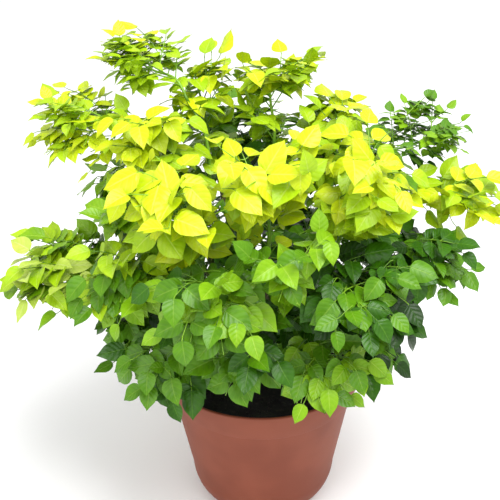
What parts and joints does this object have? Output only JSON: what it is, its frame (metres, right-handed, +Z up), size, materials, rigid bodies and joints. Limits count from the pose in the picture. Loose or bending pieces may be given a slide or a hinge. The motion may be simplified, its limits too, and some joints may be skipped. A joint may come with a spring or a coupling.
{
  "type": "potted china doll plant",
  "caption": "Bushy indoor shrub with slender stems, leaf stalks and masses of pointed glossy leaflets, in a round tapered plastic pot with a flared rim band.",
  "frame": {"origin": "centre of the pot's flat underside", "axes": "+Z up; the plant's front, as pictured, faces -Y; +X to the viewer's right"},
  "size_m": [0.3773, 0.3089, 0.3791],
  "materials": {
    "pot": "satin",
    "soil": "matte",
    "bark": "matte",
    "stalk": "satin",
    "foliage": "satin"
  },
  "bodies": {
    "root": {"arm_left_high": "foliage", "arm_left_low": "foliage", "arm_right": "foliage", "arm_right_mid": "foliage", "back_left": "foliage", "back_left_low": "foliage", "back_mid": "foliage", "back_right": "foliage", "back_right_low": "foliage", "bough_arm_left_high": "stalk", "bough_arm_left_low": "stalk", "bough_arm_right": "stalk", "bough_arm_right_mid": "stalk", "bough_back_left": "stalk", "bough_back_left_low": "stalk", "bough_back_mid": "stalk", "bough_back_right": "stalk", "bough_back_right_low": "stalk", "bough_front_left_low": "stalk", "bough_front_low": "stalk", "bough_front_mid": "stalk", "bough_front_right_low": "stalk", "bough_front_right_mid": "stalk", "bough_left_low": "stalk", "bough_left_mid": "stalk", "bough_right_low": "stalk", "bough_spray_right_high": "stalk", "bough_spray_top_left": "stalk", "crown_back": "foliage", "crown_back_left": "foliage", "crown_front": "foliage", "crown_front_left": "foliage", "crown_front_right": "foliage", "crown_left": "foliage", "crown_right": "foliage", "front_left_low": "foliage", "front_low": "foliage", "front_mid": "foliage", "front_right_low": "foliage", "front_right_mid": "foliage", "inner_front": "foliage", "inner_left": "foliage", "inner_right": "foliage", "left_low": "foliage", "left_mid": "foliage", "pot": "pot", "right_low": "foliage", "soil": "soil", "spray_right_high": "foliage", "spray_top_left": "foliage", "stem_back": "bark", "stem_back_left": "bark", "stem_front": "bark", "stem_front_left": "bark", "stem_front_right": "bark", "stem_left": "bark", "stem_right": "bark"}
  },
  "joints": []
}
